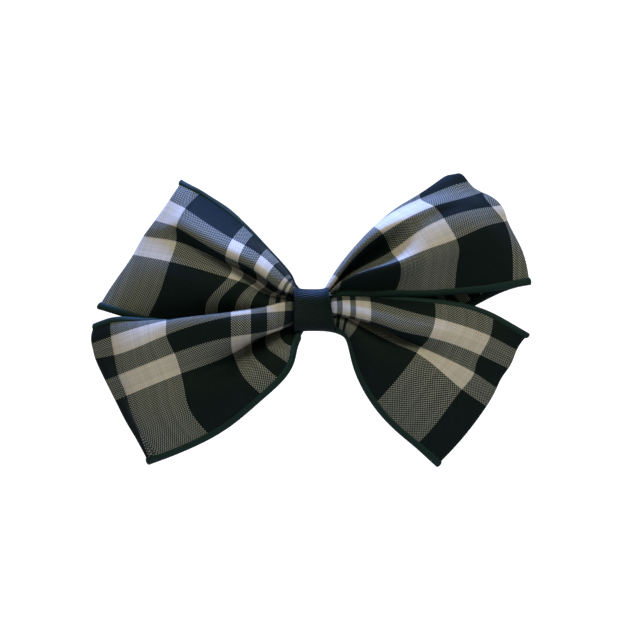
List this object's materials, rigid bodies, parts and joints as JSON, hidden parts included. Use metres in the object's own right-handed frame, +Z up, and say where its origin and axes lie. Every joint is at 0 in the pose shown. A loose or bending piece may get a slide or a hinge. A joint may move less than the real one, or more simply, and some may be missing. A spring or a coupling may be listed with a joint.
{
  "type": "hair bow",
  "caption": "Plaid ribbon hair bow with corded-edge loops gathered under a ribbed wrap, on a hinged spring barrette with a pinch clasp.",
  "frame": {"origin": "middle of the barrette's hair gap, between the tension spring and the arm", "axes": "+X along the bow, to the right when looking at its face; +Z up as worn; the face looks along -Y and the barrette is on the +Y side"},
  "size_m": [0.1079, 0.0336, 0.072],
  "materials": {
    "plaid_ribbon": "twill weave, dark green and cream plaid",
    "edging_thread": "tight overlocked thread over a cord, dark green",
    "wrap_ribbon": "ribbed ribbon, dark green",
    "hot_glue": "set glue, cloudy",
    "plated_steel": "nickel plated, lightly scuffed",
    "spring_steel": "thin rolled spring strip"
  },
  "bodies": {
    "bow": {"upper_left_loop": "plaid_ribbon", "lower_left_loop": "plaid_ribbon", "upper_right_loop": "plaid_ribbon", "lower_right_loop": "plaid_ribbon", "upper_left_top_edging": "edging_thread", "upper_left_bottom_edging": "edging_thread", "lower_left_top_edging": "edging_thread", "lower_left_bottom_edging": "edging_thread", "upper_right_top_edging": "edging_thread", "upper_right_bottom_edging": "edging_thread", "lower_right_top_edging": "edging_thread", "lower_right_bottom_edging": "edging_thread", "pleated_waist": "plaid_ribbon", "gathering_thread": "edging_thread", "center_wrap": "wrap_ribbon", "glue_pad": "hot_glue", "barrette_base": "plated_steel", "tension_spring": "spring_steel", "clasp_bracket": "plated_steel", "hinge_pin": "plated_steel"},
    "arm": {"barrette_arm": "plated_steel"},
    "upper_prong": {"upper_clasp_prong": "plated_steel"},
    "lower_prong": {"lower_clasp_prong": "plated_steel"}
  },
  "joints": [
    {"name": "arm_hinge", "type": "hinge", "parent": "bow", "child": "arm", "pos_m": [-0.0285, 0.0039, 0], "axis": [0, 0, 1], "range_deg": [0, 75]},
    {"name": "upper_prong_pinch", "type": "hinge", "parent": "bow", "child": "upper_prong", "pos_m": [0.0274, -0.0042, 0.00205], "axis": [-1, 0, 0], "range_deg": [0, 5], "stiffness_Nm_per_rad": 0.1},
    {"name": "lower_prong_pinch", "type": "hinge", "parent": "bow", "child": "lower_prong", "pos_m": [0.0274, -0.0042, -0.00205], "axis": [1, 0, 0], "range_deg": [0, 5], "stiffness_Nm_per_rad": 0.1}
  ]
}
